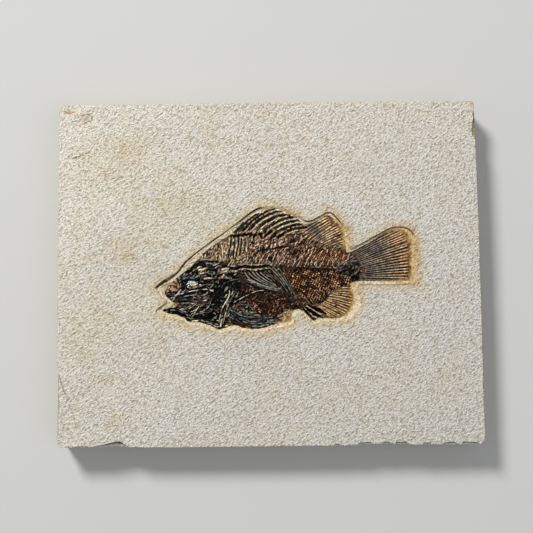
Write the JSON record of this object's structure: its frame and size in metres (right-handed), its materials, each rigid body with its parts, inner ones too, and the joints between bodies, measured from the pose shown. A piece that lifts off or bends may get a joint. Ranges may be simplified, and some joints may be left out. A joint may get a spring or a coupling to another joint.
{
  "type": "fossil fish slab",
  "caption": "Flat rectangular limestone slab lying on its back, with a spiny-finned fossil fish in a shallow recess in its face.",
  "frame": {"origin": "centre of the slab's back, on the surface that it rests on", "axes": "+X along the slab towards the fish's tail, +Y across it towards the dorsal fin, +Z out of the prepared face"},
  "size_m": [0.2318, 0.1892, 0.0183],
  "materials": {
    "limestone": "matt",
    "fossil_bone": "satin"
  },
  "bodies": {
    "root": {"limestone_slab": "limestone", "fossil_fish": "fossil_bone"}
  },
  "joints": []
}
